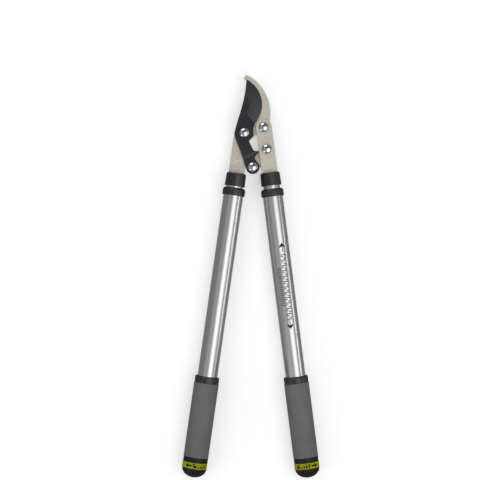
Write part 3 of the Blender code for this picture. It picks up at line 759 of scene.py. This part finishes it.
def make_rivet(name, body):
    low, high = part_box(name)
    top, bottom = high[2], low[2]
    under = top - HEAD_HEIGHT
    rise = HEAD_HEIGHT - HEAD_RIM
    quarter = [pi / 2 * i / DOME_STEPS for i in range(DOME_STEPS + 1)]
    dome = [(HEAD_RADIUS * sin(a), top - rise + rise * cos(a)) for a in quarter]
    tail_top = bottom + TAIL_HEIGHT
    stem = [(HEAD_RADIUS, under), (SHANK_RADIUS, under), (SHANK_RADIUS, tail_top),
            (TAIL_RADIUS, tail_top), (TAIL_RADIUS, bottom + TAIL_HEIGHT * 0.5),
            (TAIL_RADIUS * 0.86, bottom + TAIL_HEIGHT * 0.16), (TAIL_RADIUS * 0.6, bottom),
            (0, bottom)]
    matrix = Matrix.Translation((*middle(name).to_2d(), 0))
    rivet = turned(name + "_fine", dome + stem, matrix, 72, 0.25 * MM)
    smooth_by_area(rivet)
    finish_piece(rivet, body, name, "rivet_chrome", "chrome")


def make_washer(node, body):
    low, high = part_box(node)
    outer = (high[0] - low[0]) / 2
    matrix = Matrix.Translation((*middle(node).to_2d(), 0))
    ring = [(outer, low[2]), (outer, high[2]), (WASHER_BORE, high[2]), (WASHER_BORE, low[2])]
    washer = turned(node + "_fine", ring, matrix, 64)
    smooth_by_area(washer)
    finish_piece(washer, body, node, "zinc_steel", "zinc")


def make_ferrule(side):
    node = side + "_ferrule"
    start, end, base = reach(node, side)
    bore = INNER_RADIUS + FIT
    profile = [(0, start)] + top_edge(base - FERRULE_TAPER, start, FERRULE_EDGE)
    profile += [(base, end), (bore, end), (bore, start + FERRULE_WALL), (0, start + FERRULE_WALL)]
    ferrule = turned(node + "_fine", profile, HANDLES[side])
    plate_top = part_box("hook_plate" if side == "left" else "right_bracket")[1][2]
    lift = plate_top - PLATE_THICKNESS / 2 - HANDLES[side].translation.z
    bm = bmesh.new()
    bmesh.ops.create_cube(bm, size=1)
    bmesh.ops.scale(bm, verts=bm.verts, vec=(*TONGUE_SLOT, 4 * FERRULE_WALL))
    slot = mesh_object("ferrule_slot", bm)
    slot.matrix_world = HANDLES[side] @ Matrix.Translation((0, lift, start))
    cut(ferrule, [slot])
    smooth_by_area(ferrule)
    finish_piece(ferrule, BODY_OF_ARM[side], node, "black_plastic", "plastic")


def make_inner_tube(side):
    node = side + "_inner_tube"
    start, end, outer = reach(node, side)
    bore = reach(side + "_tang_plug", side)[2] + FIT
    ring = [(outer, start), (outer, end), (bore, end), (bore, start)]
    tube = turned(node + "_fine", ring, HANDLES[side], 96, 0.25 * MM)
    cut(tube, pin_holes(side))
    smooth_by_area(tube)
    finish_piece(tube, BODY_OF_ARM[side], node, "tube_aluminium", "inner")


def make_collar(side):
    node = side + "_tube_collar"
    start, end, outer = reach(node, side)
    body_end = start + COLLAR_LENGTH
    shelf = start + COLLAR_WALL
    bore, seat, skirt = INNER_RADIUS + FIT, OUTER_RADIUS + FIT, OUTER_BORE - FIT
    profile = [(bore, start)] + top_edge(outer, start, COLLAR_EDGE)
    profile += [(outer, body_end), (seat, body_end), (seat, shelf), (skirt, shelf),
                (skirt, end), (bore, end)]
    collar = turned(node + "_fine", profile, HANDLES[side])
    smooth_by_area(collar)
    finish_piece(collar, side + "_sleeve", node, "black_plastic", "plastic")


def make_outer_tube(side):
    node = side + "_outer_tube"
    start, end, outer = reach(node, side)
    ring = [(outer, start), (outer, end), (OUTER_BORE, end), (OUTER_BORE, start)]
    tube = turned(node + "_fine", ring, HANDLES[side], 128, 0.25 * MM)
    smooth_by_area(tube)
    finish_piece(tube, side + "_sleeve", node, "tube_aluminium", "tube")


def make_grip(side):
    body = side + "_sleeve"
    bore = OUTER_RADIUS + FIT
    node = side + "_grip_ring"
    start, end, outer = reach(node, side)
    inset = outer - RING_RELIEF
    profile = [(bore, start)] + top_edge(outer, start, RING_EDGE)
    profile += [(outer, end - RING_STEP[0]), (inset, end - RING_STEP[1]), (inset, end),
                (bore, end)]
    ring = turned(node + "_fine", profile, HANDLES[side])
    smooth_by_area(ring)
    finish_piece(ring, body, node, "black_plastic", "plastic")

    node = side + "_grip_sleeve"
    start, end, outer = reach(node, side)
    lip = SLEEVE_LIP
    profile = [(bore, start)] + top_edge(outer, start, lip)
    profile += arc((outer - lip, end - lip), lip, 0, 90, 8) + [(bore, end)]
    sleeve = turned(node + "_fine", profile, HANDLES[side])
    smooth_by_area(sleeve)
    finish_piece(sleeve, body, node, "grip_grey", "grip")


def make_cap_and_band(side):
    """The end cap, with its parting groove, its coloured band and its elliptical dome."""
    body = side + "_sleeve"
    band_node = side + "_open_band"
    band_start, band_end, band_outer = reach(band_node, side)
    node = side + "_end_cap"
    start, end, _ = reach(node, side)
    shoulder = reach(side + "_grip_sleeve", side)[1] + GAP
    pocket_end = reach(side + "_outer_tube", side)[1] + GAP
    spigot, wall = OUTER_BORE - FIT, OUTER_RADIUS + FIT
    margin = GAP / 2
    dome_start = band_end + margin
    quarter = [pi / 2 * i / DOME_STEPS for i in range(DOME_STEPS)]
    dome = [(CAP_RADIUS * cos(a), dome_start + (end - dome_start) * sin(a)) for a in quarter]
    profile = [(0, pocket_end + CAP_DIMPLE), (CAP_SPIGOT_BORE, pocket_end),
               (CAP_SPIGOT_BORE, start), (spigot, start), (spigot, pocket_end),
               (wall, pocket_end), (wall, shoulder), (CAP_RADIUS, shoulder)]
    profile += [(CAP_RADIUS - deep * MM, shoulder + along * MM) for deep, along in PARTING_LINE]
    profile += [(CAP_RADIUS, band_start - margin), (CAP_GROOVE, band_start - margin),
                (CAP_GROOVE, dome_start)]
    cap = turned(node + "_fine", profile + dome + [(0, end)], HANDLES[side], 96, 0.25 * MM)
    smooth_by_area(cap)
    finish_piece(cap, body, node, "black_plastic", "cap")
    inner = CAP_GROOVE + FIT
    ring = [(band_outer, band_start), (band_outer, band_end), (inner, band_end),
            (inner, band_start)]
    band = turned(band_node + "_fine", ring, HANDLES[side], 96, 0.35 * MM)
    smooth_by_area(band)
    finish_piece(band, body, band_node, "open_band", "band")


# ---------------------------------------------------------------- printed marks

def wrapped_mark(name, side, shapes, radius, distance, lateral, material, slot, slant=0.0):
    """Flat shapes of (across, along) points, wrapped on a tube as a thin print."""
    bm = bmesh.new()
    for shape in shapes:
        face = bm.faces.new([bm.verts.new((x, y, 0)) for x, y in shape])
        raised = bmesh.ops.extrude_face_region(bm, geom=[face])
        top = [v for v in raised["geom"] if isinstance(v, bmesh.types.BMVert)]
        bmesh.ops.translate(bm, verts=top, vec=(0, 0, PRINT_THICKNESS))
    low = min(v.co.x for v in bm.verts)
    high = max(v.co.x for v in bm.verts)
    for i in range(1, int((high - low) / PRINT_STEP) + 1):
        bmesh.ops.bisect_plane(bm, geom=bm.verts[:] + bm.edges[:] + bm.faces[:], dist=TINY,
                               plane_co=(low + i * PRINT_STEP, 0, 0), plane_no=(1, 0, 0))
    for vert in bm.verts:
        angle = (vert.co.x + lateral + slant * vert.co.y) / radius
        out = radius + PRINT_CLEARANCE + vert.co.z
        vert.co = (out * sin(angle), out * cos(angle), distance + vert.co.y)
    bmesh.ops.recalc_face_normals(bm, faces=bm.faces)
    mark = mesh_object(name, bm)
    mark.matrix_world = HANDLES[side]
    finish_piece(mark, side + "_sleeve", None, slot, material)


def arrow_shape(length, width, shaft, head, blunt):
    """An arrow that points to +across, centred on the origin, with blunt ends to its barbs."""
    half = length / 2
    one_side = [(half - head, width / 2), (half - head - blunt, width / 2),
                (half - head, shaft / 2), (-half, shaft / 2)]
    return [(half, 0)] + one_side + [(x, -y) for x, y in reversed(one_side)]


def quarter_turned(shape, turns):
    matrix = Matrix.Rotation(turns * pi / 2, 2)
    return [tuple(matrix @ Vector(p)) for p in shape]


def box_shape(width, height, centre):
    x, y = width / 2, height / 2
    cx, cy = centre
    return [(cx - x, cy - y), (cx + x, cy - y), (cx + x, cy + y), (cx - x, cy + y)]


def open_padlock(centre, way):
    """A padlock whose shackle has swung to one side: the sign for unlocked."""
    body = box_shape(5.4 * MM, 3.6 * MM, (centre, 1.1 * MM))
    hinge = (centre + way * 1.4 * MM, -1.3 * MM)
    shackle = arc(hinge, 2.3 * MM, 180, 335, 12) + arc(hinge, 1.1 * MM, 335, 180, 12)
    leg = box_shape(1.2 * MM, 1.0 * MM, (hinge[0] - 1.7 * MM, -1.0 * MM))
    return [body, shackle, leg]


def make_band_marks(side):
    """On each coloured band, the way to turn it and the sign for unlocked with rising bars."""
    start, end, radius = reach(side + "_open_band", side)
    centre = (start + end) / 2
    way = -1 if side == "left" else 1
    arrow = [(x * way, y) for x, y in arrow_shape(*BAND_ARROW_SIZE)]
    wrapped_mark(side + "_band_arrow", side, [arrow], radius, centre, BAND_ARROW[side], "ink",
                 "open_band")
    sign = open_padlock(-8.2 * MM, way)
    for i in range(SIGN_BARS):
        height = (2.6 + 1.2 * i) * MM
        sign.append(box_shape(2.1 * MM, height, ((i * 4.0 - 2.4) * MM, 3.1 * MM - height / 2)))
    wrapped_mark(side + "_band_sign", side, sign, radius, centre, BAND_SIGN[side], "ink",
                 "open_band")


def row(sizes, height, count, length):
    """A row of boxes down a handle, centred on the origin, whose (width, shift) sizes repeat."""
    boxes = []
    for i in range(count):
        width, shift = sizes[i % len(sizes)]
        boxes.append(box_shape(width, height, (shift, (i / (count - 1) - 0.5) * length)))
    return boxes


def make_tube_scale():
    """Extension marks on the right tube: an arrow each way, a plain scale and a row of dashes."""
    side = "right"
    radius = reach(side + "_outer_tube", side)[2]
    arrow = arrow_shape(*TUBE_ARROW_SIZE)
    for name, turns, distance, lateral in TUBE_ARROWS:
        wrapped_mark(name, side, [quarter_turned(arrow, turns)], radius, distance, lateral,
                     "tube_ink", "tube_aluminium")
    ticks = row(TICKS, 1.4 * MM, TICK_COUNT, SCALE_LENGTH)
    wrapped_mark("tube_scale", side, ticks, radius, *SCALE_PLACE, "tube_ink", "tube_aluminium",
                 PRINT_SLANT)
    dashes = row(DASHES, 1.2 * MM, DASH_COUNT, DASH_ROW_LENGTH)
    wrapped_mark("tube_dashes", side, dashes, radius, *DASH_PLACE, "tube_ink", "tube_aluminium")


# ---------------------------------------------------------------- CAD nodes that stay

def paint_kept_nodes():
    finishes = {"tang_plug": "plastic", "plug_pin_upper": "zinc", "plug_pin_lower": "zinc",
                "lock_core": "plastic", "lock_collet": "nylon", "core_washer": "zinc",
                "core_screw": "zinc"}
    for side in SIDES:
        for node, material in finishes.items():
            obj = frame["nodes"][side + "_" + node]
            obj.data.materials.clear()
            obj.data.materials.append(MATERIALS[material])


# ---------------------------------------------------------------- stage, light and camera

def make_floor():
    """A pale light table: matt paper lit a little from below, so that shadows stay soft."""
    bm = bmesh.new()
    bmesh.ops.create_grid(bm, x_segments=1, y_segments=1, size=5)
    floor = mesh_object("floor", bm)
    paint = Paint("floor_paper")
    fibre = paint.noise(300, 3)
    paint.colours(fibre, [(0.3, (0.84, 0.84, 0.84)), (0.7, (0.87, 0.87, 0.87))])
    paint.set(Roughness=0.9, Specular_IOR_Level=0.1, Emission_Color=(1, 1, 1, 1),
              Emission_Strength=FLOOR_GLOW)
    floor.data.materials.append(paint.material)
    floor.visible_glossy = False
    floor.visible_diffuse = False


def softbox(name, direction, distance, size, glow, target=HEAD_TARGET):
    """A rectangular studio light that faces the target.

    Its second side lies along world Y, or stands upright if the light is beyond an end.
    """
    light = bpy.data.lights.new(name, "AREA")
    light.shape = "RECTANGLE"
    light.size, light.size_y = size
    light.energy = glow * pi * size[0] * size[1]
    obj = bpy.data.objects.new(name, light)
    back = Vector(direction).normalized()
    upright = Vector((0, 0, 1)) if abs(back.y) > 0.6 else Vector((0, 1, 0))
    across = upright.cross(back).normalized()
    matrix = Matrix((across, back.cross(across), back)).transposed().to_4x4()
    matrix.translation = Vector(target) + back * distance
    obj.matrix_world = matrix
    bpy.context.scene.collection.objects.link(obj)


def make_world():
    """A dim studio: dark straight above, a little lighter towards the walls."""
    world = bpy.data.worlds.new("studio")
    world.use_nodes = True
    nodes, links = world.node_tree.nodes, world.node_tree.links
    place = nodes.new("ShaderNodeTexCoord").outputs["Generated"]
    split = nodes.new("ShaderNodeSeparateXYZ")
    links.new(place, split.inputs[0])
    ramp = nodes.new("ShaderNodeMapRange")
    for socket, value in (("From Min", 0.6), ("From Max", 1.0),
                          ("To Min", WALL_GLOW), ("To Max", CEILING_GLOW)):
        ramp.inputs[socket].default_value = value
    links.new(split.outputs["Z"], ramp.inputs["Value"])
    background = nodes["Background"]
    background.inputs["Color"].default_value = (0.97, 0.985, 1.0, 1)
    links.new(ramp.outputs["Result"], background.inputs["Strength"])
    bpy.context.scene.world = world


def make_light():
    for name, light in LIGHTS.items():
        softbox(name, *light)


def make_camera():
    data = bpy.data.cameras.new("camera")
    data.sensor_width = SENSOR
    data.lens = SENSOR * CAMERA_DISTANCE / VIEW_WIDTH
    data.clip_end = 50
    camera = bpy.data.objects.new("camera", data)
    axis_z = HANDLES["left"].translation.z
    camera.location = (*VIEW_CENTRE, axis_z + CAMERA_DISTANCE)
    camera.rotation_euler = (0, 0, CAMERA_ROLL)
    bpy.context.scene.collection.objects.link(camera)
    bpy.context.scene.camera = camera


def build():
    make_plates()
    make_blade()
    for name, body in RIVETED.items():
        make_rivet(name + "_rivet", body)
        make_washer(name + "_washer", body)
    make_washer("link_spacer", "blade_body")
    for side in SIDES:
        make_ferrule(side)
        make_inner_tube(side)
        make_collar(side)
        make_outer_tube(side)
        make_grip(side)
        make_cap_and_band(side)
        make_band_marks(side)
    make_tube_scale()
    paint_kept_nodes()
    make_floor()
    make_light()
    make_world()
    make_camera()
    bpy.context.scene.view_settings.view_transform = "Standard"


build()
